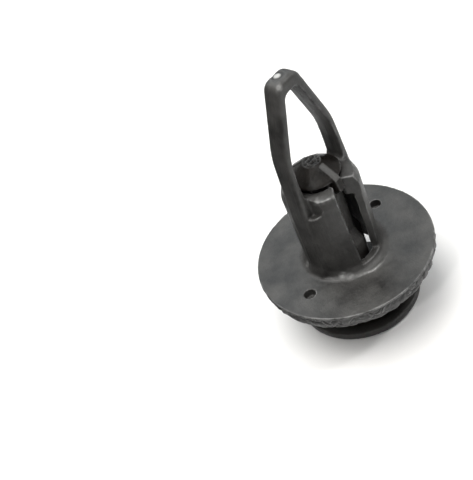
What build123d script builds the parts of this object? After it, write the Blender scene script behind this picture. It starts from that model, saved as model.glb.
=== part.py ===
from build123d import *
import os
from math import radians, sin, tan

# Push rivet with a looped nose: a moulded body that snaps into a panel hole, and the plunger that locks it.
# The rivet stands on the plunger's head, with the plunger pulled out to its stop. Millimetres, +Z towards
# the nose, origin at the middle of the head's outer face. The two legs of the nose lie in the XZ plane, and
# the two slots of the shank open along Y.

os.makedirs("parts", exist_ok=True)

# ---- flange and cup
flange_back = 7.15        # height of the flat back, which lies against the panel
flange_radius = 9.0       # sharp crease round the back
ring_centre = (6.75, 6.65)  # centre of the round of the ring in front of the crease
ring_radius = 2.305
ring_start = 12.5         # degrees, at the crease
ring_end = -95.0          # degrees, at the mouth of the cup
cup_mouth = 6.55
cup_base = 6.45
cup_floor = 5.95          # height of the floor at the cup's wall
cup_corner = 0.35
floor_pitch = 3.0         # degrees that each half of the floor falls away from the ridge
dimple_radius = 0.58      # two blind dimples in the back
dimple_depth = 0.85
dimple_place = 6.34
dimple_turn = 5.5         # degrees from the plane of the legs

# ---- split shank
collar_foot = 4.5         # radius of the collar round the shank, at the back
collar_waist = (4.05, 7.4)
collar_head = 7.95
shank_radius = 3.8
shoulder_foot = 15.9
shoulder_radius = 3.47    # edge of the shank's end
shoulder_edge = 16.85
shank_top = 17.0
bore_foot = 3.25          # radius of the bore in the flange
bore_head = 3.05          # and under the catch lips
lip_foot = 14.85          # lips that hold the plunger's barb
lip_radius = 2.2
slot_floor = 7.7
slot_foot = 2.2           # distance from the axis to the point of a V slot, at its floor
slot_head = 1.75          # and at the end of the shank
slot_flare = 4.0          # the V is drawn this far out
lip_gap = 0.6             # half of the gap between two lips
notch_half = 1.1          # notches in the floor of the cup, in line with the slots
notch_reach = 3.6
notch_depth = 0.8
flat_foot = 15.0          # flats cut down from the shank's end, one beside each leg
flat_place = 2.75         # distance from the axis
flat_back = 0.7           # they start this far behind the middle of the leg
flat_reach = 2.7          # and end this far beside it
flat_round = 1.6

# ---- legs and nose, as (distance from the axis, height)
leg_toe = (4.2, 7.15)
leg_ankle = (3.83, 8.25)
leg_hip = (3.83, 15.0)
leg_bend = (3.46, 21.95)
nose_corner = (1.35, 28.6)
leg_half = 1.15           # half thickness along Y at the toes
nose_half = 0.95          # and at the tip
window_foot = (2.93, 17.0)
window_bend = (2.88, 21.0)
window_corner = (0.78, 27.3)
window_draft = 5.0        # degrees that the window opens from the parting line to its faces
channel_half = 2.05       # half of the way between the legs, past the lips
bend_round = 8.0
nose_round = 1.0
window_round = 0.55
leg_edge = 0.45           # rounded outer edges of the legs

# ---- plunger
head_radius = 6.35
head_thickness = 1.15
head_flat = 3.6           # radius of the flat middle of the face
head_rise = 0.12          # height of the face's edge
head_edge = 0.6           # height of the rounded rim
rim_round = 0.42
wing_half = 2.4           # cross recess
wing_width = (0.9, 0.62)  # its arms along X and along Y
recess_depth = 2.1
recess_draft = 0.12       # the recess is this much narrower, on each side, at its floor
rib_half = 0.9            # half thickness of the ribs of the shaft
rib_reach = (2.4, 2.6)    # half widths of the lower shaft along X and Y
rib_shoulder = 8.9        # the ribs taper from here
rib_top = 10.3
slim_half = 0.8
slim_reach = 1.85
barb_radius = 2.45
barb_foot = 17.4
barb_rim = 0.22
tip_radius = 0.85
tip_height = 18.9
fin_half = 0.38
fin_foot = (2.2, 15.7)
fin_heel = (2.95, 16.25)
fin_toe = (2.74, 17.58)
fin_top = (1.1, 18.8)

lip_z = ring_centre[1] + ring_radius * sin(radians(ring_end))
ridge = cup_floor - cup_mouth * tan(radians(floor_pitch))

# ---- hollow of the cup: a shallow dish whose floor has a low ridge in line with the slots
with BuildPart() as cup_hollow:
    with BuildSketch(Plane.XZ):
        with BuildLine():
            Polyline((0, 0), (cup_mouth, 0), (cup_mouth, lip_z), (cup_base, cup_floor), (0, cup_floor),
                     close=True)
        make_face()
    revolve(axis=Axis.Z)
    chamfer(cup_hollow.edges().group_by(Axis.Z)[-1], length=cup_corner)
    with BuildSketch(Plane.XZ):
        with BuildLine():
            Polyline((0, ridge), (cup_mouth, cup_floor), (cup_mouth, 0), (0, 0), close=True)
        make_face()
        mirror(about=Plane.YZ)
    extrude(amount=cup_mouth, both=True, mode=Mode.INTERSECT)

# ---- loop of the nose: two legs that meet at the tip, with a tall window between them
with BuildPart() as loop:
    with BuildSketch(Plane.XZ) as outline:
        with BuildLine():
            Polyline((0, leg_toe[1]), leg_toe, leg_ankle, leg_hip, leg_bend, nose_corner,
                     (0, nose_corner[1]), close=True)
        make_face()
        mirror(about=Plane.YZ)
        fillet(outline.vertices().group_by(Axis.Y)[-2], radius=bend_round)
        fillet(outline.vertices().group_by(Axis.Y)[-1], radius=nose_round)
    extrude(amount=leg_half, both=True)
    with BuildSketch(Plane.YZ):
        with BuildLine():
            Polyline((0, leg_toe[1]), (leg_half, leg_toe[1]), (nose_half, nose_corner[1]),
                     (0, nose_corner[1]), close=True)
        make_face()
        mirror(about=Plane.YZ)
    extrude(amount=leg_toe[0], both=True, mode=Mode.INTERSECT)
    outer_edges = loop.edges().filter_by(Axis.Y, reverse=True).group_by(Axis.Z)[1:]
    fillet([edge for group in outer_edges for edge in group], radius=leg_edge)
    with BuildSketch(Plane.XZ) as window:
        with BuildLine():
            Polyline((0, window_foot[1]), window_foot, window_bend, window_corner, (0, window_corner[1]),
                     close=True)
        make_face()
        mirror(about=Plane.YZ)
        fillet(window.vertices().group_by(Axis.Y)[-2], radius=bend_round)
        fillet(window.vertices().group_by(Axis.Y)[-1], radius=window_round)
        fillet(window.vertices().group_by(Axis.Y)[0], radius=window_round)
    extrude(amount=leg_half, both=True, taper=-window_draft, mode=Mode.SUBTRACT)

# ---- body: flange, split shank and looped nose in one moulding
with BuildPart() as body:
    # flange with its rounded ring
    with BuildSketch(Plane.XZ):
        with BuildLine():
            back = Line((0, flange_back), (flange_radius, flange_back))
            ring = CenterArc(ring_centre, ring_radius, ring_start, ring_end - ring_start)
            Line(back @ 1, ring @ 0)
            Polyline(ring @ 1, (0, lip_z), (0, flange_back))
        make_face()
    revolve(axis=Axis.Z)
    # collar, shank and chamfered shoulder
    with BuildSketch(Plane.XZ):
        with BuildLine():
            Polyline((0, lip_z), (collar_foot, lip_z), (collar_foot, flange_back), collar_waist,
                     (shank_radius, collar_head), (shank_radius, shoulder_foot),
                     (shoulder_radius, shoulder_edge), (lip_radius, shank_top), (0, shank_top), close=True)
        make_face()
    revolve(axis=Axis.Z)
    # flats beside the legs, half a turn apart, each rounded at its lower corner
    for side in (1, -1):
        with BuildSketch(Plane.YZ.offset(side * flat_place)) as flat:
            with BuildLine():
                Polyline((-side * flat_back, shank_top), (-side * flat_back, flat_foot),
                         (side * flat_reach, flat_foot), (side * flat_reach, shank_top), close=True)
            make_face()
            fillet(flat.vertices().group_by(Axis.Y)[0].sort_by(Axis.X)[side > 0], radius=flat_round)
        extrude(amount=side * shank_radius, mode=Mode.SUBTRACT)
    add(loop.part)
    # hollow of the cup, bore and lips
    add(cup_hollow.part, mode=Mode.SUBTRACT)
    with BuildSketch(Plane.XZ):
        with BuildLine():
            Polyline((0, 0), (bore_foot, 0), (bore_foot, cup_floor), (bore_head, lip_foot),
                     (lip_radius, lip_foot), (lip_radius, shank_top), (0, shank_top), close=True)
        make_face()
    revolve(axis=Axis.Z, mode=Mode.SUBTRACT)
    with BuildSketch(Plane.XY.offset(lip_foot)):
        Rectangle(2 * channel_half, 2 * leg_half)
        Rectangle(2 * lip_gap, 2 * shank_radius)
    extrude(amount=shank_top - lip_foot, mode=Mode.SUBTRACT)
    # V slots, wider towards the nose
    for side in (1, -1):
        for height, depth in ((slot_floor, slot_foot), (shank_top, slot_head)):
            with BuildSketch(Plane.XY.offset(height)):
                with BuildLine():
                    Polyline((0, side * depth), (slot_flare, side * (depth + slot_flare)),
                             (-slot_flare, side * (depth + slot_flare)), close=True)
                make_face()
        loft(mode=Mode.SUBTRACT)
    # notches in the floor of the cup
    with BuildSketch(Plane.XY.offset(lip_z)):
        Rectangle(2 * notch_half, 2 * notch_reach)
    extrude(amount=cup_floor + notch_depth - lip_z, mode=Mode.SUBTRACT)
    # dimples in the back
    with BuildSketch(Plane.XY.offset(flange_back)):
        with PolarLocations(dimple_place, 2, start_angle=dimple_turn):
            Circle(dimple_radius)
    extrude(amount=-dimple_depth, mode=Mode.SUBTRACT)
body.part.label = "body"
export_step(body.part, "parts/body.step")

# ---- plunger: head with a cross recess, cross-shaped shaft, barbed tip and two guide fins
with BuildPart() as plunger:
    # head, slightly domed outside its flat middle
    with BuildSketch(Plane.XZ):
        with BuildLine():
            Line((0, 0), (head_flat, 0))
            dome = TangentArc((head_flat, 0), (head_radius - rim_round, head_rise), tangent=(1, 0))
            rim = TangentArc(dome @ 1, (head_radius, head_edge), tangent=dome % 1)
            Polyline(rim @ 1, (head_radius, head_thickness), (0, head_thickness), (0, 0))
        make_face()
    revolve(axis=Axis.Z)
    # shaft, slimmer where it passes the lips
    with BuildSketch(Plane.XY.offset(head_thickness)):
        Rectangle(2 * rib_reach[0], 2 * rib_half)
        Rectangle(2 * rib_half, 2 * rib_reach[1])
    extrude(amount=rib_shoulder - head_thickness)
    for height, reach_x, reach_y, half in (
        (rib_shoulder, rib_reach[0], rib_reach[1], rib_half),
        (rib_top, slim_reach, slim_reach, slim_half),
    ):
        with BuildSketch(Plane.XY.offset(height)):
            Rectangle(2 * reach_x, 2 * half)
            Rectangle(2 * half, 2 * reach_y)
    loft()
    with BuildSketch(Plane.XY.offset(rib_top)):
        Rectangle(2 * slim_reach, 2 * slim_half)
        Rectangle(2 * slim_half, 2 * slim_reach)
    extrude(amount=barb_foot - rib_top)
    # barbed tip
    with BuildSketch(Plane.XZ):
        with BuildLine():
            Polyline((0, barb_foot), (barb_radius, barb_foot), (barb_radius, barb_foot + barb_rim),
                     (tip_radius, tip_height), (0, tip_height), close=True)
        make_face()
    revolve(axis=Axis.Z)
    # guide fins
    with BuildSketch(Plane.YZ):
        with BuildLine():
            Polyline((0, fin_foot[1]), fin_foot, fin_heel, fin_toe, fin_top, (0, fin_top[1]), close=True)
        make_face()
        mirror(about=Plane.YZ)
    extrude(amount=fin_half, both=True)
    # cross recess
    for height, draft in ((0, 0), (recess_depth, recess_draft)):
        with BuildSketch(Plane.XY.offset(height)):
            Rectangle(2 * (wing_half - draft), wing_width[0] - 2 * draft)
            Rectangle(wing_width[1] - 2 * draft, 2 * (wing_half - draft))
    loft(mode=Mode.SUBTRACT)
plunger.part.label = "plunger"
export_step(plunger.part, "parts/plunger.step")
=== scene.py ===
# %% [markdown]
# # Push rivet with a looped nose
# A push rivet is two mouldings. The body has a flange with a leather-grained ring, a split shank
# and a looped nose. The plunger has a grained head with a cross recess, and a barb that spreads
# the shank. The measured solids come from the frame, and this file gives them the skin and the
# finish of moulded plastic.

# %% The frame
from math import atan2, cos, degrees, pi, radians, sin

import bpy
import numpy as np
from mathutils import Matrix, Vector, noise


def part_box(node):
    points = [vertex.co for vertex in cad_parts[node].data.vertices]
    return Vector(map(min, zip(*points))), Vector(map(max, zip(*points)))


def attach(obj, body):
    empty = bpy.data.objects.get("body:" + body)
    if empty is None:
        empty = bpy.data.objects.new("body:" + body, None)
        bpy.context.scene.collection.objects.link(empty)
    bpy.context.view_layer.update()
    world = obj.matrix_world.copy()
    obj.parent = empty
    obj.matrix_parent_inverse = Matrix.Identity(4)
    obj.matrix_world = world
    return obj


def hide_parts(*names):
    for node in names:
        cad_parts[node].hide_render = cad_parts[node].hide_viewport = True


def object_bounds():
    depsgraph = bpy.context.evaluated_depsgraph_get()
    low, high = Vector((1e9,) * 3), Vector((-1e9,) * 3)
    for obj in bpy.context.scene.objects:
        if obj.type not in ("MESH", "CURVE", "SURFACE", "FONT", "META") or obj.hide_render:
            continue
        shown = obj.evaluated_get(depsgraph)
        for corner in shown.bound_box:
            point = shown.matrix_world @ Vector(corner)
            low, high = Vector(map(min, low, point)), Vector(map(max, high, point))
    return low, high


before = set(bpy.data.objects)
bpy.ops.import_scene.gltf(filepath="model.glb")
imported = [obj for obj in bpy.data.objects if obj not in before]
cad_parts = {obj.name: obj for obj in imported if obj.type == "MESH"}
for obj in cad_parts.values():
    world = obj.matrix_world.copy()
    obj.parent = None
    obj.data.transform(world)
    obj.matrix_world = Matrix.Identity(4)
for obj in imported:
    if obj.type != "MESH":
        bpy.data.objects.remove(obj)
cad_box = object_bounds()
MM = 0.001

# %% [markdown]
# ## Camera
# A close-up of a small part has strong perspective, so the camera is placed by what it sees and
# not by eye: a point on the rivet's axis, the distance to it, and three angles. The roll tips the
# rivet to the left.

# %% Where the camera stands
AIM = Vector((0, 0, 6.75)) * MM      # the point on the axis that the angles are about
DISTANCE = 89.71 * MM
AZIMUTH = radians(-120)              # the camera stands at the front left of the rivet
ELEVATION = radians(41.41)
ROLL = radians(-26.15)
SHIFT_RIGHT = 10.77 * MM             # where the aim lies in the picture, from its middle
SHIFT_DOWN = 1.01 * MM


def direction(turn, lift):
    """The unit vector with an azimuth and an elevation in radians."""
    return Vector((cos(turn) * cos(lift), sin(turn) * cos(lift), sin(lift)))


back = direction(AZIMUTH, ELEVATION)
level = Vector((-sin(AZIMUTH), cos(AZIMUTH), 0))
upright = back.cross(level)
right = cos(ROLL) * level + sin(ROLL) * upright
up = cos(ROLL) * upright - sin(ROLL) * level
place = AIM + DISTANCE * back - SHIFT_RIGHT * right + SHIFT_DOWN * up
print("camera at", [round(v / MM, 1) for v in place], "mm")

# %% The camera
LENS = 67.5                          # focal length in mm
CLIP_START = 5 * MM                  # well in front of the nose, which is near the lens

camera = bpy.data.objects.new("camera", bpy.data.cameras.new("camera"))
bpy.context.scene.collection.objects.link(camera)
camera.data.lens = LENS
camera.data.clip_start = CLIP_START
axes = Matrix((right, up, back)).transposed().to_4x4()
camera.matrix_world = Matrix.Translation(place) @ axes
bpy.context.scene.camera = camera
print("field of view:", round(degrees(camera.data.angle), 1), "degrees")

# %% [markdown]
# ## Helpers for shader nodes
# A material is a tree of nodes, and every link between two nodes is a line of code. These helpers
# add one node each, feed it with links or plain numbers, and give back its output, so that the
# recipes further down read like sums.

# %% Helpers for shader nodes
def put(tree, socket, value):
    """Gives socket a link or a number."""
    if isinstance(value, (int, float)):
        socket.default_value = value
    else:
        tree.links.new(value, socket)


def add_range(tree, value, low, high, to_low=0, to_high=1, kind="LINEAR"):
    """The output of a map range node from low..high to to_low..to_high."""
    node = tree.nodes.new("ShaderNodeMapRange")
    node.interpolation_type = kind
    for socket, given in zip(node.inputs, (value, low, high, to_low, to_high)):
        put(tree, socket, given)
    return node.outputs["Result"]


def add_mix(tree, share, first, second, blend="MIX"):
    """The output of a colour mix node; first and second are links or colours."""
    node = tree.nodes.new("ShaderNodeMix")
    node.data_type = "RGBA"
    node.blend_type = blend
    put(tree, node.inputs["Factor"], share)
    for name, colour in (("A", first), ("B", second)):
        if isinstance(colour, tuple):
            node.inputs[name].default_value = (*colour, 1)
        else:
            tree.links.new(colour, node.inputs[name])
    return node.outputs["Result"]


def add_towards(tree, coordinates, bearing):
    """How far a place or a direction, in some coordinates, lies towards a bearing in radians."""
    node = tree.nodes.new("ShaderNodeVectorMath")
    node.operation = "DOT_PRODUCT"
    node.inputs[1].default_value = (cos(bearing), sin(bearing), 0)
    given = tree.nodes.new("ShaderNodeTexCoord")
    tree.links.new(given.outputs[coordinates], node.inputs[0])
    return node.outputs["Value"]


print("helpers:", [f.__name__ for f in (put, add_range, add_mix, add_towards)])

# %% [markdown]
# ## Floor
# Small glossy parts are shot on a white board that runs out to white. The camera sees that board
# evenly white. Everything else sees a painted shade instead, in reflections and in the light that
# bounces off the board: a greyer board that is darkest on the left, so that upright faces stay
# dark.
# So the floor has two tones, one that the camera sees, and one that everything else sees.

# %% Material of the floor
BOARD_TONE = (0.88, 0.875, 0.865)
BOARD_ROUGHNESS = 0.6
BOARD_SHEEN = 0.3
MIRRORED_DARK = 0.1                  # tone of the mirrored board in its dark part
MIRRORED_BRIGHT = 0.74               # and in its lit part
LIT_BEARING = radians(-30)           # towards the lit part
FADE = (-15 * MM, -8 * MM)           # where the mirrored board begins and ends to brighten


def floor_material():
    """White matt board that other surfaces mirror, and get bounced light from, as a painted shade:
    a greyer board with a dark end.
    """
    material = bpy.data.materials.new("white_board")
    material.use_nodes = True
    tree = material.node_tree
    surface = tree.nodes["Principled BSDF"]
    surface.inputs["Roughness"].default_value = BOARD_ROUGHNESS
    surface.inputs["Specular IOR Level"].default_value = BOARD_SHEEN
    along = add_towards(tree, "Object", LIT_BEARING)
    # Painted shade: every ray but the camera's sees the board in these darker tones.
    mirrored_shade = add_range(tree, along, *FADE, MIRRORED_DARK, MIRRORED_BRIGHT, "SMOOTHSTEP")
    seen = tree.nodes.new("ShaderNodeLightPath").outputs["Is Camera Ray"]
    tone = add_mix(tree, seen, mirrored_shade, BOARD_TONE)
    tree.links.new(tone, surface.inputs["Base Color"])
    return material


board = floor_material()
print("material:", board.name)

# %% The floor
FLOOR_HALF = 600 * MM

mesh = bpy.data.meshes.new("floor")
corners = [(-1, -1), (1, -1), (1, 1), (-1, 1)]
mesh.from_pydata([(x * FLOOR_HALF, y * FLOOR_HALF, 0) for x, y in corners], [], [(0, 1, 2, 3)])
floor = bpy.data.objects.new("floor", mesh)
bpy.context.scene.collection.objects.link(floor)
mesh.materials.append(board)
print("floor", 2 * FLOOR_HALF / MM, "mm square")

# %% [markdown]
# ## Light
# A soft box overhead lights the floor and everything that faces up. A second one stands behind,
# just where the top of the flange mirrors it to the camera, and gives the satin sheen. Two small
# lamps at the front draw a line along the edges. A lamp's power is worked out from how bright its
# face looks, so that it can grow or move without changing what is mirrored.

# %% Lamps
LAMPS_AIM = Vector((0, 0, 12)) * MM  # the middle of the rivet
WHITE = (1, 1, 1)
SOFT_BOXES = [                       # name, azimuth, elevation, distance, size, radiance, tint
    ("overhead", 150, 79, 220, 190, 5.1, (1.0, 0.985, 0.96)),
    ("behind", 60, 41, 300, 260, 1.1, (0.86, 0.95, 1.0)),
    ("front_left", -160, 45, 250, 16, 140.0, WHITE),
    ("front_right", -50, 50, 250, 30, 60.0, WHITE)]


def soft_box(name, azimuth, elevation, distance, size, radiance, tint):
    """A square lamp that faces the middle of the rivet: angles in degrees, lengths in mm."""
    lamp = bpy.data.lights.new(name, "AREA")
    lamp.shape = "SQUARE"
    lamp.size = size * MM
    lamp.energy = radiance * pi * (size * MM) ** 2
    lamp.color = tint
    holder = bpy.data.objects.new(name, lamp)
    bpy.context.scene.collection.objects.link(holder)
    outward = direction(radians(azimuth), radians(elevation))
    holder.location = LAMPS_AIM + distance * MM * outward
    holder.rotation_euler = (-outward).to_track_quat("-Z", "Y").to_euler()


for row in SOFT_BOXES:
    soft_box(*row)

# %% [markdown]
# The rest of the room is dim, and dimmest on the left, so that upright faces stay dark. The world's
# background stands for its walls: its strength runs from one side to the other.

# %% The room
ROOM_DIM = 0.12                      # strength of the dimmest wall
ROOM_BRIGHT = 0.5
ROOM_BEARING = radians(0)            # bearing of the brightest wall

world = bpy.data.worlds.new("studio")
bpy.context.scene.world = world
world.use_nodes = True
tree = world.node_tree
facing = add_towards(tree, "Generated", ROOM_BEARING)
walls = add_range(tree, facing, -1, 1, ROOM_DIM, ROOM_BRIGHT)
tree.links.new(walls, tree.nodes["Background"].inputs["Strength"])
tree.nodes["Background"].inputs["Color"].default_value = (*WHITE, 1)
bpy.context.scene.view_settings.view_transform = "Standard"
print("room from", ROOM_DIM, "to", ROOM_BRIGHT)

# %% [markdown]
# ## Skin of the mouldings
# The solids have razor edges and long thin triangles, while a moulding has softened edges and an
# even surface. Bevels would have to be set edge by edge. Remeshing the solid in small cells and
# relaxing it gives both at once: every edge rounds off by about one cell, and there are enough
# points to press a leather grain into the surface as real relief.

# %% Helpers for the mesh
def ramp(value, low, high):
    """0 below low, 1 above high and straight between."""
    return min(1, max(0, (value - low) / (high - low)))


def apply_modifiers(skin):
    """Turns the result of skin's modifiers into its mesh."""
    result = skin.evaluated_get(bpy.context.evaluated_depsgraph_get())
    finished = bpy.data.meshes.new_from_object(result)
    skin.modifiers.clear()
    skin.data = finished
    finished.name = skin.name


def points_of(mesh):
    """The places and the normals of a mesh's points, as arrays."""
    arrays = []
    for what in ("co", "normal"):
        values = np.empty(3 * len(mesh.vertices), dtype=np.float32)
        mesh.vertices.foreach_get(what, values)
        arrays.append(values.reshape(-1, 3).astype(float))
    return arrays


print("helpers:", [f.__name__ for f in (ramp, apply_modifiers, points_of)])

# %% Remeshed skin
CELL = 0.085 * MM
SCALE_UP = 1000                      # the mesh is remeshed in millimetres
WELD_GAP = 0.0005                    # mm; points this near to each other are one point
RELAX_FACTOR = 0.5
ROUNDS = 3                           # of relaxing, for the whole skin
SOFT_ROUNDS = 14                     # and more of it where the skin is soft


def relax(skin, rounds, group=""):
    """Adds a smoothing to skin, in all of it or by the weights of a group of points."""
    smooth = skin.modifiers.new("relax", "SMOOTH")
    smooth.factor = RELAX_FACTOR
    smooth.iterations = rounds
    smooth.vertex_group = group


def remeshed(node, name):
    """A new mesh object with the shape of a CAD node, in even cells and with eased edges."""
    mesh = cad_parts[node].data.copy()
    mesh.transform(Matrix.Scale(SCALE_UP, 4))
    skin = bpy.data.objects.new(name, mesh)
    bpy.context.scene.collection.objects.link(skin)
    weld = skin.modifiers.new("weld", "WELD")
    weld.merge_threshold = WELD_GAP
    cells = skin.modifiers.new("cells", "REMESH")
    cells.mode = "VOXEL"
    cells.voxel_size = CELL * SCALE_UP
    relax(skin, ROUNDS)
    apply_modifiers(skin)
    skin.data.transform(Matrix.Scale(1 / SCALE_UP, 4))
    skin.data.materials.clear()
    print(name, len(skin.data.vertices), "points")
    return skin


body_skin = remeshed("body", "body_moulding")
plunger_skin = remeshed("plunger", "plunger_moulding")

# %% [markdown]
# On the body, the nose, the collar at the shank's foot, and the lower ends of the flats and of the
# catch lips are rounder than the rest. A group of points holds how soft each place is, and these
# places are relaxed for longer. The plunger's edges are all as round, so it needs no group.

# %% Softer places
COLLAR_HEIGHTS = (7.0, 8.3)          # mm, as all of these
COLLAR_REACH = (3.7, 5.4)            # distances from the axis
FLAT_HEIGHTS = (14.4, 15.7)
FLAT_OUT = 2.5                       # the flats are further out than this along X
FLAT_BESIDE = 1.2                    # and further from the legs' middle than this along Y
LIP_HEIGHTS = (14.3, 15.4)
LIP_REACH = (1.9, 3.3)
NOSE_HEIGHTS = (20, 24)              # the nose is softer and softer between these


def within(value, span):
    """Whether a length in metres lies between two lengths in mm."""
    return span[0] * MM < value < span[1] * MM


def body_softness(place):
    """1 on the collar, the feet of the flats and of the catch lips, and the nose."""
    reach = place.xy.length
    collar = within(place.z, COLLAR_HEIGHTS) and within(reach, COLLAR_REACH)
    beside = abs(place.x) > FLAT_OUT * MM and FLAT_BESIDE * MM < abs(place.y)
    flat_foot = within(place.z, FLAT_HEIGHTS) and beside
    lip_foot = within(place.z, LIP_HEIGHTS) and within(reach, LIP_REACH)
    if collar or flat_foot or lip_foot:
        return 1
    return ramp(place.z, NOSE_HEIGHTS[0] * MM, NOSE_HEIGHTS[1] * MM)


def soften(skin, softness):
    """Relaxes skin for longer, by softness(place) between 0 and 1."""
    soft = skin.vertex_groups.new(name="soft")
    for vertex in skin.data.vertices:
        weight = softness(vertex.co)
        if weight > 0:
            soft.add([vertex.index], weight, "REPLACE")
    relax(skin, SOFT_ROUNDS, soft.name)
    apply_modifiers(skin)
    skin.vertex_groups.clear()
    print(skin.name, "softened by", SOFT_ROUNDS, "rounds")


soften(body_skin, body_softness)
relax(plunger_skin, SOFT_ROUNDS)
apply_modifiers(plunger_skin)
print(plunger_skin.name, "softened all over by", SOFT_ROUNDS, "rounds")

# %% [markdown]
# ## Leather grain
# The ring and the head carry a pressed leather grain: rounded pebbles about a millimetre across,
# no two alike, with narrow creases between them. The difference between the distances to the two
# nearest of many scattered points is zero halfway between them, which draws such creases. Bending
# space with a little noise first makes the pebbles irregular. Blender starts that noise from the
# clock, so it gets a fixed seed, and every run presses the same grain.

# %% Creases between pebbles
PEBBLE = 1.15 * MM                   # size of a pebble
CREASE_SHARE = 0.5                   # how much of a pebble's half is taken by its crease
BEND = 0.6                           # how far the pebbles' borders wander
BEND_RATE = 1.1                      # and how quickly
PEBBLE_HEIGHT = 0.8
HEIGHT_SPREAD = 0.35                 # some parts of the pebbles are higher than others
HEIGHT_RATE = 1.7
GRAIN_SEED = 1795464496              # any whole number but 0; it decides how the borders wander

noise.seed_set(GRAIN_SEED)


def crease_depth(point):
    """1 in the bottom of a crease and 0 on a pebble."""
    spot = point / PEBBLE
    spot = spot + BEND * noise.noise_vector(BEND_RATE * spot)
    near = noise.voronoi(spot)[0]
    share = min(1, (near[1] - near[0]) / CREASE_SHARE)
    pebble = share * (2 - share)
    swell = HEIGHT_SPREAD * noise.noise(HEIGHT_RATE * spot)
    return 1 - pebble * (PEBBLE_HEIGHT + swell)


print("depth on the axis:", round(crease_depth(Vector((0, 0, 0))), 2))

# %% [markdown]
# The steel of the mould is etched only where the hand meets the rivet: on the rounded ring and on
# the face of the head. The ring's round section and the head's outline say which points these are,
# and the grain fades out at their borders, so that no pebble ends in a cliff.

# %% Where the grain is
RING_CENTRE = (6.75 * MM, 6.65 * MM)  # of its round section: distance from the axis, height
RING_RADIUS = 2.305 * MM
RING_SKIN = 0.15 * MM                # points this near to the round section are on the ring
MOUTH_FADE = (-97, -90)              # degrees round the section, where 0 points outwards
CREASE_FADE = (-9, -3)               # the same with the other sign, for the far end
HEAD_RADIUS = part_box("plunger")[1].x
HEAD_FACE = 0.5 * MM                 # the grain stops this far up the rim
RECESS_REACH = 2.4 * MM
RECESS_HALF = (0.45 * MM, 0.31 * MM)
RECESS_FADE = (0.05 * MM, 0.3 * MM)
RIM_FADE = (0.05 * MM, 0.35 * MM)


def on_ring(place):
    """1 on the rounded ring of the flange, fading at its crease and at the mouth of the cup."""
    out = place.xy.length - RING_CENTRE[0]
    rise = place.z - RING_CENTRE[1]
    if abs(Vector((out, rise)).length - RING_RADIUS) > RING_SKIN:
        return 0
    turn = degrees(atan2(rise, out))
    return ramp(turn, *MOUTH_FADE) * ramp(-turn, *CREASE_FADE)


def on_head(place):
    """1 on the outer face of the head, fading at its rim and round the cross recess."""
    if place.z > HEAD_FACE:
        return 0
    from_arms = min(
        max(abs(place.x) - RECESS_REACH, abs(place.y) - RECESS_HALF[0]),
        max(abs(place.y) - RECESS_REACH, abs(place.x) - RECESS_HALF[1]))
    rim = HEAD_RADIUS - place.xy.length
    return ramp(from_arms, *RECESS_FADE) * ramp(rim, *RIM_FADE)


print("the head is", round(HEAD_RADIUS / MM, 2), "mm in radius")

# %% [markdown]
# Each point is then pushed in along its normal. All places and normals are read before the first
# point moves, because a moved point changes the normals round it. The depth of the crease is kept
# on each point, so that the finish can paint shade into the creases with it.

# %% Pressed grain
GRAIN_DEPTH = 0.2 * MM


def press_grain(skin, grained):
    """Presses the grain into skin, by the share between 0 and 1 that grained(place) gives."""
    mesh = skin.data
    depths = np.zeros(len(mesh.vertices))
    for i, vertex in enumerate(mesh.vertices):
        share = grained(vertex.co)
        if share > 0:
            depths[i] = share * crease_depth(vertex.co)
    places, normals = points_of(mesh)
    places -= GRAIN_DEPTH * depths[:, None] * normals
    mesh.vertices.foreach_set("co", places.ravel())
    # The crease depth is also kept for the painted shade in the creases.
    crease = mesh.attributes.new("crease", "FLOAT", "POINT")
    crease.data.foreach_set("value", depths.astype(np.float32))
    mesh.update()
    print(skin.name, "grained points:", int((depths > 0).sum()))


press_grain(body_skin, on_ring)
press_grain(plunger_skin, on_head)

# %% [markdown]
# ## Gate scars
# The plastic flows into the mould through a small gate, and where the runner is snapped off a torn
# spot stays. It is sunk into the mesh, because a bump alone would vanish from the side. The body's
# gate is on top of the nose: a whitened nub in a shallow moat. The nub's whiteness is partly torn
# plastic and partly a painted highlight, and the moat gets painted shade.

# %% Scar on the nose
NOSE_GATE = Vector((0.02, 0.25)) * MM
NOSE_GATE_FLOOR = 28.2 * MM          # only points above this belong to the top of the nose
NUB_RADIUS = 0.36 * MM
NUB_FADE = 0.1 * MM
NUB_TEAR = 0.3                       # unevenness of the nub, against the moat's depth
NUB_TEAR_SIZE = 0.2 * MM
MOAT_WIDTH = 0.2 * MM
MOAT_DEPTH = 0.1 * MM


def nose_scar(place):
    """Sinking in metres, whiteness (partly a painted highlight) and painted moat shade of a body
    point.
    """
    if place.z < NOSE_GATE_FLOOR:
        return 0, 0, 0
    away = (place.xy - NOSE_GATE).length
    moat = max(0, 1 - abs(away - NUB_RADIUS - MOAT_WIDTH / 2) / MOAT_WIDTH)
    tear = NUB_TEAR * abs(noise.noise(place / NUB_TEAR_SIZE))
    whiteness = ramp(NUB_RADIUS - away, 0, NUB_FADE)
    return MOAT_DEPTH * (moat + tear * whiteness), whiteness, moat


top = Vector((*NOSE_GATE, cad_box[1].z))
print("sinking, whiteness and darkness of the nub:", [round(v, 5) for v in nose_scar(top)])

# %% [markdown]
# The plunger's gate is the end of its pin, torn over its whole width. Noise of two sizes gives the
# torn lumps. Where it is near zero the surface stays high, and those ridges are whitened a little,
# partly as torn plastic and partly as a painted highlight. The sunk lumps get painted shade.

# %% Scar on the pin
PIN_TOP = 18.75 * MM
PIN_RADIUS = 0.85 * MM
PIN_FADE = 0.1 * MM
COARSE_TEAR = 0.45 * MM              # size of the torn lumps
FINE_TEAR = 0.2 * MM
FINE_SHARE = 0.3
TEAR_DEPTH = 0.16 * MM
TEAR_GAIN = 2                        # noise stays well under 1, so it is raised by this
RIDGE_WHITENESS = 0.08
RIDGE_GAIN = 3                       # the more, the narrower the white ridges


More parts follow.
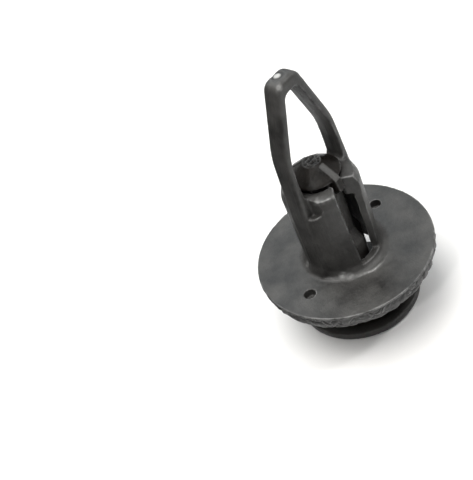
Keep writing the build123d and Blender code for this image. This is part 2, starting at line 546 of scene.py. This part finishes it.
def pin_scar(place):
    """Sinking in metres, whiteness (partly a painted highlight) and painted shade of a plunger
    point.
    """
    share = ramp(place.z, PIN_TOP, PIN_TOP + PIN_FADE)
    share = share * ramp(PIN_RADIUS - place.xy.length, 0, PIN_FADE)
    if share == 0:
        return 0, 0, 0
    coarse, fine = (abs(noise.noise(place / size)) for size in (COARSE_TEAR, FINE_TEAR))
    tear = coarse + FINE_SHARE * fine
    whiteness = RIDGE_WHITENESS * share * max(0, 1 - RIDGE_GAIN * tear)
    # The darkness is painted shade, deepest where the lump is sunk deepest.
    return TEAR_DEPTH * share * tear * TEAR_GAIN, whiteness, share * min(1, TEAR_GAIN * tear)


top = Vector((0, 0, PIN_TOP + PIN_FADE))
print("sinking, whiteness and darkness of the pin:", [round(v, 5) for v in pin_scar(top)])

# %% [markdown]
# Each point sinks straight down by what its scar says. Two numbers stay on the points for the
# finish: the whiteness under a name of its own, which later also takes painted highlights and
# painted light, and the darkness, which is painted shade, together with the painted shade of the
# creases.

# %% Torn gates
def tear_gate(skin, scar_and_painted_light):
    """Sinks the points of skin, and whitens them and paints shade on them, by what the scar gives.
    """
    mesh = skin.data
    whiteness = np.zeros(len(mesh.vertices), dtype=np.float32)
    crease = mesh.attributes["crease"].data
    for i, vertex in enumerate(mesh.vertices):
        sinking, whiteness[i], darkness = scar_and_painted_light(vertex.co)
        if sinking:
            vertex.co.z -= sinking
            crease[i].value = max(crease[i].value, darkness)
    mesh.attributes.new("scar_and_painted_light", "FLOAT", "POINT").data.foreach_set("value", whiteness)
    mesh.update()
    print(skin.name, "torn points:", int((whiteness > 0).sum()))


tear_gate(body_skin, nose_scar)
tear_gate(plunger_skin, pin_scar)

# %% [markdown]
# ## Scuffs and painted glints
# Pale scuffs on the shoulder, the collar and the nose are put where glints fall, so they are partly
# scuffed plastic and partly painted highlights. A scuff isn't a round spot but a bundle of short
# streaks round the shank, so its whiteness is broken up by noise that is stretched that way.

# %% Scuffs and painted glints
SCUFF_GLINTS = [                           # place and radius in mm, and whiteness
    ((-2.72, -2.1, 16.85), 0.4, 0.6), ((-2.35, -2.5, 16.85), 0.35, 0.4),
    ((-1.9, -2.85, 16.85), 0.35, 0.3), ((-1.43, -3.1, 16.85), 0.35, 0.4),
    ((-3.2, -2.4, 7.5), 0.5, 0.45), ((-2.95, -3.1, 7.4), 0.5, 0.4),
    ((1.4, -3.0, 7.7), 0.4, 0.7), ((-3.5, 1.75, 7.6), 0.45, 0.35),
    ((-1.0, -0.8, 28.3), 0.35, 0.45)]
SCUFF_RADIUS = 4                     # mm; the shank is about this large
SCRATCH = (0.5, 0.14, 0.3)           # mm; size of its streaks round the shank, upwards and inwards


def whiten(skin, shares, what):
    """Raises the whiteness of the points of skin to shares, one for each point; it holds painted
    light too.
    """
    scar_and_painted_light = skin.data.attributes["scar_and_painted_light"].data
    kept = np.zeros(len(shares), dtype=np.float32)
    scar_and_painted_light.foreach_get("value", kept)
    scar_and_painted_light.foreach_set("value", np.clip(shares, kept, 1).astype(np.float32))
    print(skin.name, what, "on", int((shares > 0).sum()), "points")


def paint_scuff_glints(skin):
    """Whitens skin near each scuff, in streaks round the shank, as a painted highlight as well."""
    places = points_of(skin.data)[0] / MM
    shares = np.zeros(len(places))
    for centre, radius, strength in SCUFF_GLINTS:
        away = np.linalg.norm(places - centre, axis=1)
        for i in np.flatnonzero(away < radius):
            round_shank = SCUFF_RADIUS * atan2(places[i][1], places[i][0])
            spot = (round_shank, places[i][2], away[i])
            streaks = 1 + noise.noise(Vector(a / size for a, size in zip(spot, SCRATCH)))
            here = strength * (1 - away[i] / radius) * max(0, streaks)
            shares[i] = max(shares[i], here)
    whiten(skin, shares, "scuffs_and_glints")


paint_scuff_glints(body_skin)

# %% [markdown]
# A thin pale streak round the foot of the collar is a painted highlight: a glint painted into the
# colour. Its strength and its distance from the axis are given at some bearings, and run straight
# between them.

# %% Painted highlight round the collar
STREAK = (                           # bearing in degrees, distance from the axis in mm, whiteness
    (-130, 4.45, 0.1), (-115, 4.5, 0.6), (-104, 4.72, 1.0),
    (-95, 4.75, 0.8), (-86, 4.8, 0.25), (-70, 4.8, 0))
STREAK_HALF = 0.18                   # mm; half its width
STREAK_HEIGHTS = (6.6, 7.6)          # mm
STREAK_MEAN = 0.75                   # its whiteness varies about this
STREAK_SPREAD = 0.8
STREAK_PATCH = (4, 0.3, 0.1)         # size of its patches in degrees, mm and mm


def paint_collar_glint(skin):
    """Paints a thin highlight round the foot of the collar."""
    places = points_of(skin.data)[0] / MM
    turn = np.degrees(np.arctan2(places[:, 1], places[:, 0]))
    height = places[:, 2]
    reach = np.linalg.norm(places[:, :2], axis=1)
    bearings, radii, strengths = zip(*STREAK)
    shares = np.clip(1 - abs(reach - np.interp(turn, bearings, radii)) / STREAK_HALF, 0, 1)
    shares *= np.interp(turn, bearings, strengths, left=0, right=0)
    shares *= (height < STREAK_HEIGHTS[1]) & (height > STREAK_HEIGHTS[0])
    for i in np.flatnonzero(shares):
        spot = (turn[i], height[i], reach[i])
        patch = noise.noise(Vector(a / size for a, size in zip(spot, STREAK_PATCH)))
        shares[i] *= STREAK_MEAN + STREAK_SPREAD * patch
    whiten(skin, shares, "paint_collar_glint")


paint_collar_glint(body_skin)

# %% [markdown]
# ## Painted light in the slots
# Deep in the slots, where the shade falls, the tone is lifted by painted light: a thin pale veil on
# whatever lies near the axis, the plunger's shaft as well.

# %% Painted light in the slots
SLOT_LIGHT_HEIGHTS = (7.3 * MM, 16.3 * MM)
SLOT_LIGHT_STARTS = 3.3 * MM               # from the axis; the painted light grows from here inwards
SLOT_LIGHT = 0.1                           # whiteness where the painted light is strongest
FADE_OUT = 0.8 * MM                  # the painted light in the slots and on the rim fades out over this length


def paint_slot_light(skin):
    """Paints light deep in the slots."""
    places = points_of(skin.data)[0]
    reach = np.linalg.norm(places[:, :2], axis=1)
    shares = np.clip((SLOT_LIGHT_STARTS - reach) / FADE_OUT, 0, 1)
    shares *= np.clip((places[:, 2] - SLOT_LIGHT_HEIGHTS[0]) / FADE_OUT, 0, 1)
    shares *= np.clip((SLOT_LIGHT_HEIGHTS[1] - places[:, 2]) / FADE_OUT, 0, 1)
    whiten(skin, SLOT_LIGHT * shares, "paint_slot_light")


paint_slot_light(body_skin)
paint_slot_light(plunger_skin)

# %% [markdown]
# ## Painted highlight on the fins
# The plunger's guide fins slide on the shells each time the rivet is used. Their backs are made
# paler by a painted highlight, where the light falls on them. A back is straight, so its points are
# the ones near the line between its two ends.

# %% Painted highlight on the fins
FIN_HALF = 0.34 * MM
FIN_TOE = (2.74 * MM, 17.58 * MM)    # distance from the axis and height of a back's outer end
FIN_TOP = (1.1 * MM, 18.8 * MM)      # and of its inner end
FIN_SKIN = 0.12 * MM                 # points this near to the back belong to it
FIN_HIGHLIGHT = 0.15


def paint_fin_highlight(skin):
    """Paints a highlight on the backs of the guide fins."""
    places = points_of(skin.data)[0]
    reach = abs(places[:, 1])
    slope = (FIN_TOP[1] - FIN_TOE[1]) / (FIN_TOP[0] - FIN_TOE[0])
    away = abs(places[:, 2] - FIN_TOE[1] - slope * (reach - FIN_TOE[0]))
    on_back = (abs(places[:, 0]) < FIN_HALF) & (away < FIN_SKIN)
    on_back &= (reach > FIN_TOP[0]) & (reach < FIN_TOE[0])
    whiten(skin, FIN_HIGHLIGHT * on_back, "highlight on the fins")


paint_fin_highlight(plunger_skin)

# %% [markdown]
# ## Painted light on the rim
# Fingers and levers take hold of the head by its rim. The rim is made paler by painted light, which
# stands in for the light that the floor throws on it, and simply grows with the distance from the
# axis.

# %% Painted light on the rim
RIM_STARTS = 5.2 * MM                # from the axis
RIM_TOP = 2 * MM                     # the rim is below this
RIM_LIGHT = 0.07


def paint_rim_light(skin):
    """Paints light on the rim of the head."""
    places = points_of(skin.data)[0]
    reach = np.linalg.norm(places[:, :2], axis=1)
    shares = np.clip((reach - RIM_STARTS) / FADE_OUT, 0, 1) * (places[:, 2] < RIM_TOP)
    whiten(skin, RIM_LIGHT * shares, "light on the rim")


paint_rim_light(plunger_skin)

# %% [markdown]
# ## Fewer faces
# The even cells are needed where there is grain, and hardly anywhere else. Collapsing the edges
# that matter least thins out the flat and gently curved surfaces and leaves the grain as it is.

# %% Fewer faces
MOST_FACES = 190000


def thin_out(skin):
    """Collapses the least needed edges until skin has MOST_FACES triangles."""
    triangles = sum(len(p.vertices) - 2 for p in skin.data.polygons)
    if triangles > MOST_FACES:
        collapse = skin.modifiers.new("collapse", "DECIMATE")
        collapse.ratio = MOST_FACES / triangles
        apply_modifiers(skin)
    skin.data.polygons.foreach_set("use_smooth", [True] * len(skin.data.polygons))
    print(skin.name, triangles, "triangles ->", len(skin.data.polygons), "faces")


thin_out(body_skin)
thin_out(plunger_skin)

# %% [markdown]
# ## Handled edges and painted highlights
# Outward edges and the crests of the grain are rubbed smooth first, and the finish also paints them
# paler as a painted highlight. How far a point stands out from its neighbours tells where they are.
# It is averaged once over the neighbours, so that the edges of the mesh don't show, and kept on the
# points for the finish.

# %% Handled edges and painted highlights
EDGE_LOW = 0.04                      # a point that stands out less than this gets no pale edge
EDGE_HIGH = 0.15
GRAIN_SHARE = 0.8                    # the crests of the grain count for this much
TINY = 1e-9                          # m; keeps an edge without length from dividing by zero


def standing_out(mesh):
    """How far each point of mesh stands out from its neighbours; about 0 where it is flat."""
    count = len(mesh.vertices)
    places, normals = points_of(mesh)
    ends = np.empty(2 * len(mesh.edges), dtype=int)
    mesh.edges.foreach_get("vertices", ends)
    first, second = ends.reshape(-1, 2).T
    along = places[second] - places[first]
    along /= np.maximum(np.linalg.norm(along, axis=1), TINY)[:, None]
    standing = np.bincount(first, -(normals[first] * along).sum(axis=1), count)
    standing += np.bincount(second, (normals[second] * along).sum(axis=1), count)
    neighbours = np.bincount(first, minlength=count) + np.bincount(second, minlength=count)
    standing /= neighbours
    spread = np.bincount(first, standing[second], count)
    spread += np.bincount(second, standing[first], count)
    return (standing + spread / neighbours) / 2


def mark_edges(skin):
    """Keeps on each point how far it is rubbed and painted with a highlight, from 0 to 1."""
    mesh = skin.data
    standing = standing_out(mesh)
    crease = np.empty(len(standing), dtype=np.float32)
    mesh.attributes["crease"].data.foreach_get("value", crease)
    standing[crease > 0] *= GRAIN_SHARE
    edge = np.clip((standing - EDGE_LOW) / (EDGE_HIGH - EDGE_LOW), 0, 1).astype(np.float32)
    mesh.attributes.new("edge", "FLOAT", "POINT").data.foreach_set("value", edge)
    print(skin.name, "points on edges:", int((edge > 0.5).sum()))


mark_edges(body_skin)
mark_edges(plunger_skin)

# %% [markdown]
# ## Effects of the finish
# Both mouldings are dark grey plastic, the plunger a little darker and browner. It isn't one flat
# grey: the tone clouds over a few millimetres, creases get painted shade, rubbed edges are smoother
# and paler, the paleness partly a painted highlight, torn plastic is white, and the steel leaves a
# fine tooth and marks along the direction of ejection. Each effect is a node group, so that each
# moulding can use it with its own values.

# %% Helpers for node groups
def node_group(name, inputs, outputs):
    """An empty shader group: inputs are names with defaults, outputs are names with kinds."""
    group = bpy.data.node_groups.new(name, "ShaderNodeTree")
    for title, default in inputs.items():
        kind = "NodeSocketColor" if isinstance(default, tuple) else "NodeSocketFloat"
        socket = group.interface.new_socket(title, in_out="INPUT", socket_type=kind)
        socket.default_value = (*default, 1) if isinstance(default, tuple) else default
    for title, kind in outputs.items():
        group.interface.new_socket(title, in_out="OUTPUT", socket_type=kind)
    return group, group.nodes.new("NodeGroupInput"), group.nodes.new("NodeGroupOutput")


def add_math(tree, operation, *values):
    """The output of a math node on links or numbers."""
    node = tree.nodes.new("ShaderNodeMath")
    node.operation = operation
    for socket, value in zip(node.inputs, values):
        put(tree, socket, value)
    return node.outputs[0]


def add_noise(tree, scale, detail, roughness=0.5, place=None):
    """The output of a noise node on the object's own coordinates, or on place."""
    node = tree.nodes.new("ShaderNodeTexNoise")
    put(tree, node.inputs["Scale"], scale)
    node.inputs["Detail"].default_value = detail
    node.inputs["Roughness"].default_value = roughness
    place = place or tree.nodes.new("ShaderNodeTexCoord").outputs["Object"]
    tree.links.new(place, node.inputs["Vector"])
    return node.outputs["Fac"]


print("helpers:", [f.__name__ for f in (node_group, add_math, add_noise)])

# %% [markdown]
# Moulded plastic clouds because the melt doesn't mix evenly. Noise of several sizes shows it, and
# in the creases painted shade multiplies the tone down.

# %% Clouded tone
CLOUD_DETAIL = 6
CLOUD_ROUGHNESS = 0.65
CLOUD_SPREAD = (0.35, 0.65)          # noise between these goes from the one tone to the other
CREASE_SHADE = (0.5, 0.5, 0.5)


def clouded_tone_and_shade():
    """Group: a base tone that clouds towards a lighter one, with painted shade in creases."""
    group, given, result = node_group(
        "clouded_tone_and_shade",
        {"Tone": (0.1, 0.1, 0.1), "Light tone": (0.15, 0.15, 0.15), "Clouds per metre": 300.0,
         "Crease": 0.0},
        {"Color": "NodeSocketColor", "Clouds": "NodeSocketFloat"})
    clouds = add_noise(
        group, given.outputs["Clouds per metre"], CLOUD_DETAIL, CLOUD_ROUGHNESS)
    spread = add_range(group, clouds, *CLOUD_SPREAD)
    tone = add_mix(group, spread, given.outputs["Tone"], given.outputs["Light tone"])
    # Painted shade: the tone is multiplied down where the points hold it.
    shade = add_mix(group, given.outputs["Crease"], tone, CREASE_SHADE, "MULTIPLY")
    group.links.new(shade, result.inputs["Color"])
    group.links.new(clouds, result.inputs["Clouds"])
    return group


TONE_GROUP = clouded_tone_and_shade()
print("group:", TONE_GROUP.name)

# %% [markdown]
# The paleness of an edge is partly wear and partly a painted highlight. Hands rub an edge unevenly,
# so the mask of the edges is broken up by patches.

# %% Rubbed edge and painted highlight
PATCH_DETAIL = 3
PATCH_SPREAD = (0.38, 0.62)


def rubbed_edge():
    """Group: a paler colour, partly a painted highlight, and a mask on outward edges, broken up by
    noise.
    """
    group, given, result = node_group(
        "rubbed_edge",
        {"Color": (0.1, 0.1, 0.1), "Edge": 0.0, "Pale tone": (0.2, 0.2, 0.2),
         "Patches per metre": 900.0},
        {"Color": "NodeSocketColor", "Rubbed and highlit": "NodeSocketFloat"})
    patches = add_noise(group, given.outputs["Patches per metre"], PATCH_DETAIL)
    patches = add_range(group, patches, *PATCH_SPREAD)
    rubbed_and_highlit = add_math(group, "MULTIPLY", given.outputs["Edge"], patches)
    colour = add_mix(group, rubbed_and_highlit, given.outputs["Color"], given.outputs["Pale tone"])
    group.links.new(colour, result.inputs["Color"])
    group.links.new(rubbed_and_highlit, result.inputs["Rubbed and highlit"])
    return group


EDGE_GROUP = rubbed_edge()
print("group:", EDGE_GROUP.name)

# %% [markdown]
# The part slides out of the mould along its axis, which draws long marks. Noise in coordinates
# that are squeezed across the axis is long along it.

# %% Drawn marks
MARK_DETAIL = 3
MARK_ROUGHNESS = 0.55
MARK_SPREAD = (0.35, 0.65)


def drawn_marks():
    """Group: long marks along the direction in which the part leaves the mould."""
    group, given, result = node_group(
        "drawn_marks", {"Across per metre": 3500.0, "Along per metre": 200.0},
        {"Marks": "NodeSocketFloat"})
    rates = group.nodes.new("ShaderNodeCombineXYZ")
    for axis, rate in (("X", "Across"), ("Y", "Across"), ("Z", "Along")):
        group.links.new(given.outputs[rate + " per metre"], rates.inputs[axis])
    drawn = group.nodes.new("ShaderNodeVectorMath")
    drawn.operation = "MULTIPLY"
    place = group.nodes.new("ShaderNodeTexCoord").outputs["Object"]
    group.links.new(place, drawn.inputs[0])
    group.links.new(rates.outputs["Vector"], drawn.inputs[1])
    marks = add_noise(group, 1, MARK_DETAIL, MARK_ROUGHNESS, drawn.outputs["Vector"])
    group.links.new(add_range(group, marks, *MARK_SPREAD), result.inputs["Marks"])
    return group


MARKS_GROUP = drawn_marks()
print("group:", MARKS_GROUP.name)

# %% [markdown]
# A mould that is made by spark erosion leaves a fine tooth all over, which scatters the light.

# %% Fine tooth
TOOTH_DETAIL = 3
TOOTH_ROUGHNESS = 0.6


def fine_tooth():
    """Group: the height of the fine tooth that spark erosion leaves in a mould."""
    group, given, result = node_group(
        "fine_tooth", {"Grains per metre": 7000.0, "Depth": 1.0}, {"Height": "NodeSocketFloat"})
    tooth = add_noise(group, given.outputs["Grains per metre"], TOOTH_DETAIL, TOOTH_ROUGHNESS)
    height = add_math(group, "MULTIPLY", tooth, given.outputs["Depth"])
    group.links.new(height, result.inputs["Height"])
    return group


TOOTH_GROUP = fine_tooth()
print("groups:", [g.name for g in bpy.data.node_groups])

# %% [markdown]
# ## The two plastics
# One recipe makes both plastics: colour from the clouds, the painted shade of the creases, the
# rubbed edges with their painted highlight, and the scars with the painted light, roughness from
# the clouds, the marks and the rubbed edges, and a bump from the tooth, the marks and the gentle
# swell that shrinkage leaves. Their tones and gloss differ.

# %% Helpers for the plastics
PALE_TONE_OF_SCARS_AND_PAINTED_LIGHT = (0.42, 0.42, 0.41)       # of whitened plastic, and of the painted highlights and painted light


def place_group(tree, group, **values):
    """A node for group in tree; values are named as its inputs, with _ for a space."""
    node = tree.nodes.new("ShaderNodeGroup")
    node.node_tree = group
    for name, value in values.items():
        socket = node.inputs[name.replace("_", " ")]
        socket.default_value = (*value, 1) if isinstance(value, tuple) else value
    return node


def add_mark(tree, attribute):
    """The output of a node that reads what the points keep under a name."""
    node = tree.nodes.new("ShaderNodeAttribute")
    node.attribute_name = attribute
    return node.outputs["Fac"]


print("helpers:", [f.__name__ for f in (place_group, add_mark)])

# %% [markdown]
# Colour, roughness and relief are worked out one by one. The numbers that the points keep say where
# a thing happens, and the groups say how it looks. The tooth and the marks are too fine for the
# mesh, and the swell is too shallow to show at the outline, so the relief is a bump.

# %% Colour, roughness and relief
SATIN_CLOUDS = (0.3, 0.7)            # over these clouds the roughness goes from low to high
SMOOTHEST = 0.07                     # under a plastic's own roughness
ROUGHEST = 0.1                       # over it
ROUGH_MARKS = 0.1
RUB_POLISH = -0.2
MARKS_HEIGHT = 0.5                   # against the height of the tooth
SWELL_HEIGHT = 4.0
SWELL_RATE = 1.7                     # swells for each cloud
SWELL_DETAIL = 1
BUMP_STRENGTH = 0.8
BUMP_DISTANCE = 0.03 * MM


def add_colour(tree, tones, marked):
    """The clouded and shaded tone node, the rubbed and highlit edge node, and the final colour."""
    tone = place_group(tree, TONE_GROUP, Tone=tones["tone"], Light_tone=tones["light_tone"],
                       Clouds_per_metre=tones["clouds"])
    tree.links.new(marked["crease"], tone.inputs["Crease"])
    worn_and_highlit = place_group(tree, EDGE_GROUP, Pale_tone=tones["pale_tone"], Patches_per_metre=900)
    tree.links.new(tone.outputs["Color"], worn_and_highlit.inputs["Color"])
    tree.links.new(marked["edge"], worn_and_highlit.inputs["Edge"])
    # The pale marks are torn plastic, scuffs, and painted highlights and painted light.
    return tone, worn_and_highlit, add_mix(tree, marked["scar_and_painted_light"], worn_and_highlit.outputs["Color"], PALE_TONE_OF_SCARS_AND_PAINTED_LIGHT)


def add_satin(tree, roughness, clouds, marks, rubbed_and_highlit):
    """The roughness: clouded, duller on the marks and polished on rubbed edges."""
    satin = add_range(
        tree, clouds, *SATIN_CLOUDS, roughness - SMOOTHEST, roughness + ROUGHEST)
    satin = add_math(tree, "MULTIPLY_ADD", marks, ROUGH_MARKS, satin)
    return add_math(tree, "MULTIPLY_ADD", rubbed_and_highlit, RUB_POLISH, satin)


def add_relief(tree, clouds, marks):
    """The normal: fine tooth, drawn marks and a gentle swell."""
    tooth = place_group(tree, TOOTH_GROUP, Grains_per_metre=7000, Depth=1)
    height = add_math(tree, "MULTIPLY_ADD", marks, MARKS_HEIGHT, tooth.outputs["Height"])
    swell = add_noise(tree, SWELL_RATE * clouds, SWELL_DETAIL)
    height = add_math(tree, "MULTIPLY_ADD", swell, SWELL_HEIGHT, height)
    bump = tree.nodes.new("ShaderNodeBump")
    bump.inputs["Strength"].default_value = BUMP_STRENGTH
    bump.inputs["Distance"].default_value = BUMP_DISTANCE
    tree.links.new(height, bump.inputs["Height"])
    return bump.outputs["Normal"]


print("helpers:", [f.__name__ for f in (add_colour, add_satin, add_relief)])

# %% [markdown]
# The recipe is then followed twice. The plunger is a little smoother than the body, and its plastic
# is darker and mirrors less.

# %% The two plastics
BODY_FINISH = {
    "tone": (0.0135, 0.013, 0.0123), "light_tone": (0.057, 0.0556, 0.0527),
    "pale_tone": (0.22, 0.22, 0.217), "clouds": 280, "roughness": 0.36, "sheen": 0.5}
PLUNGER_FINISH = {
    "tone": (0.0053, 0.0045, 0.0037), "light_tone": (0.0155, 0.0131, 0.011),
    "pale_tone": (0.09, 0.088, 0.085), "clouds": 400, "roughness": 0.3, "sheen": 0.18}


def moulded_plastic(name, finish):
    """Dark satin plastic: clouded, creased and rubbed with painted shade and highlights, torn, with
    painted light, marks and a fine tooth.
    """
    material = bpy.data.materials.new(name)
    material.use_nodes = True
    tree = material.node_tree
    surface = tree.nodes["Principled BSDF"]
    surface.inputs["Specular IOR Level"].default_value = finish["sheen"]
    marked = {attribute: add_mark(tree, attribute) for attribute in ("crease", "edge", "scar_and_painted_light")}
    marks = place_group(tree, MARKS_GROUP, Across_per_metre=3500, Along_per_metre=200)
    marks = marks.outputs["Marks"]
    tone, worn_and_highlit, colour = add_colour(tree, finish, marked)
    satin = add_satin(
        tree, finish["roughness"], tone.outputs["Clouds"], marks, worn_and_highlit.outputs["Rubbed and highlit"])
    tree.links.new(colour, surface.inputs["Base Color"])
    tree.links.new(satin, surface.inputs["Roughness"])
    tree.links.new(add_relief(tree, finish["clouds"], marks), surface.inputs["Normal"])
    return material


body_skin.data.materials.append(moulded_plastic("body_plastic", BODY_FINISH))
plunger_skin.data.materials.append(moulded_plastic("plunger_plastic", PLUNGER_FINISH))
print("materials:", [m.name for m in bpy.data.materials])

# %% [markdown]
# ## Size
# The looks don't change the rivet's size, and smoothing can push a point out by a hair. So the
# last step for the meshes brings every point back into the box of the measured solids.

# %% Inside the box
for skin in (body_skin, plunger_skin):
    places = points_of(skin.data)[0]
    kept = np.clip(places, cad_box[0], cad_box[1])
    moved = float(abs(kept - places).max() / MM)
    skin.data.vertices.foreach_set("co", kept.ravel())
    skin.data.update()
    print(skin.name, "points brought in by up to", round(moved, 4), "mm")

# %% [markdown]
# ## Motion
# Each moulding stands for the solid of the same name and moves with that body: the plunger slides
# in the body along the axis.

# %% The mouldings ride on their bodies
for skin, node in ((body_skin, "body"), (plunger_skin, "plunger")):
    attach(skin, node)
    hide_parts(node)
